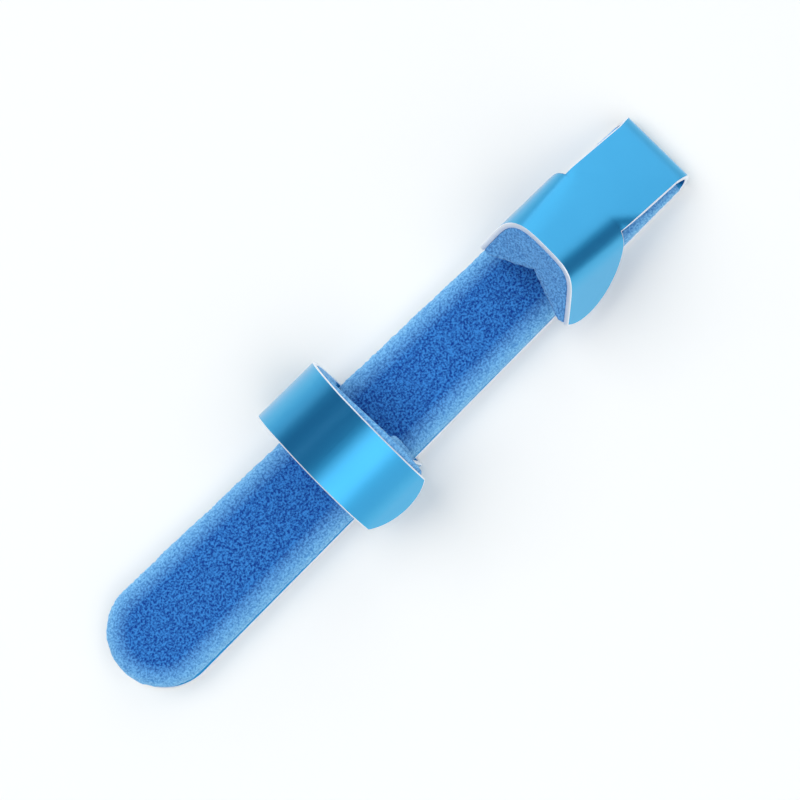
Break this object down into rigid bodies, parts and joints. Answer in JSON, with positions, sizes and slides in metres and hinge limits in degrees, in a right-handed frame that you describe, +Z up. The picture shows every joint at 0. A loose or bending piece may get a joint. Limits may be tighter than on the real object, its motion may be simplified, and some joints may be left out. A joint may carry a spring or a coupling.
{
  "type": "finger splint",
  "caption": "Fold-over finger splint of foam-lined aluminium strip, with a ring of bent wings round the finger and a folded-back hood over the fingertip.",
  "frame": {"origin": "under the middle of the splint's box, on the surface that the strip lies on", "axes": "+X along the strip from its round end towards the folded fingertip, +Y towards the side that the long wing rises from, +Z up"},
  "size_m": [0.1394, 0.031, 0.0225],
  "materials": {
    "anodised_sheet": "blue anodised sheet, brushed along the strip, with bare silver cut edges",
    "foam": "open-cell foam, matt, with a cut edge"
  },
  "bodies": {
    "root": {"aluminium_splint": "anodised_sheet", "base_pad": "foam", "long_wing_pad": "foam", "short_wing_pad": "foam", "hood_pad": "foam"}
  },
  "joints": []
}
